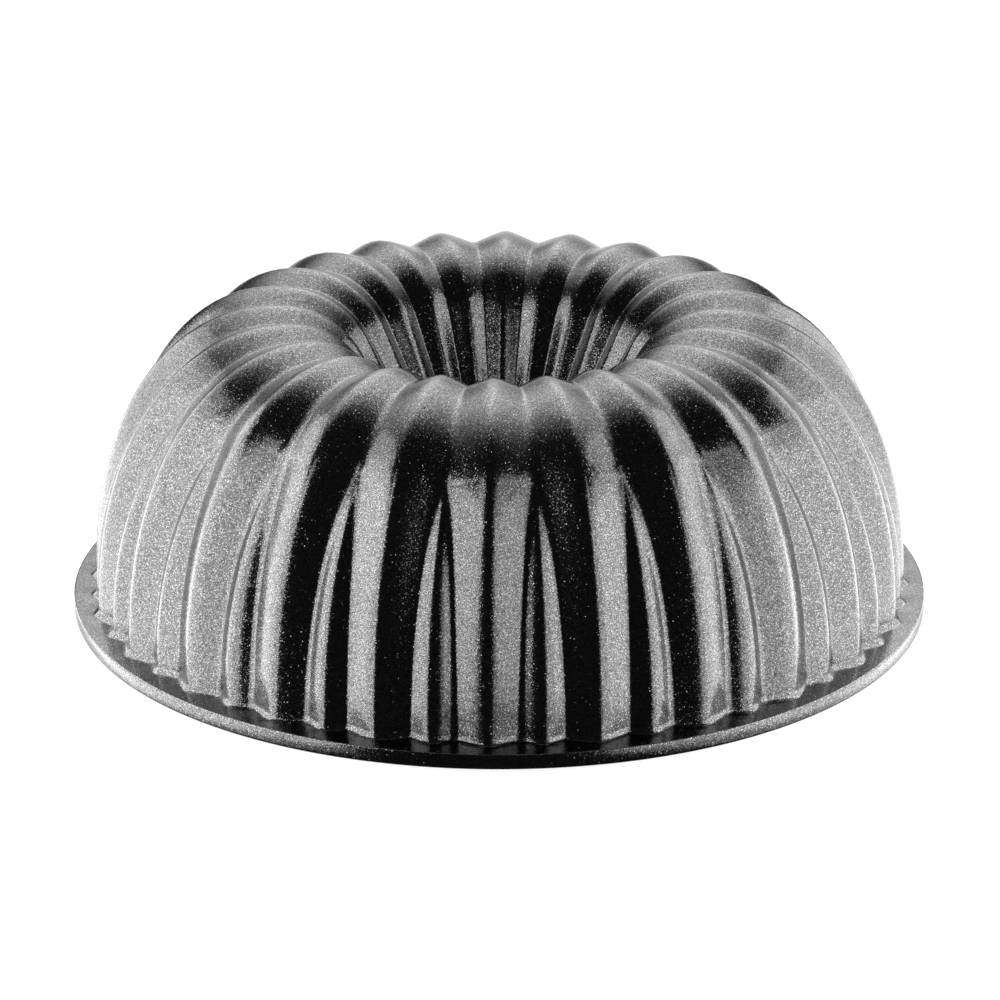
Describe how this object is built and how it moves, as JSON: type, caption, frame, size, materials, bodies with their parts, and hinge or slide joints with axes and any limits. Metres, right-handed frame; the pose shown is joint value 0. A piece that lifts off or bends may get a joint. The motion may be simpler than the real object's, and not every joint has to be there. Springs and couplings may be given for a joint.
{
  "type": "fluted ring cake mould",
  "caption": "Deep fluted ring cake mould with an open centre tube and a flat rim, coated aluminium, shown standing on its rim with the crown up.",
  "frame": {"origin": "centre of the rim's flat underside, on the ring's axis", "axes": "+Z along the ring's axis from the rim to the crown, -Y towards a main ridge"},
  "size_m": [0.2718, 0.2718, 0.0969],
  "materials": {
    "cast_aluminium": "die-cast, satin, hidden under the coatings except on the rest face and the tube's end",
    "stone_coat": "glossy black lacquer with fine pale stone speckle",
    "nonstick_coat": "semi-gloss black non-stick coating with fine speckle"
  },
  "bodies": {
    "root": {"mould_casting": "cast_aluminium", "exterior_stone_coat": "stone_coat", "interior_nonstick_coat": "nonstick_coat"}
  },
  "joints": []
}
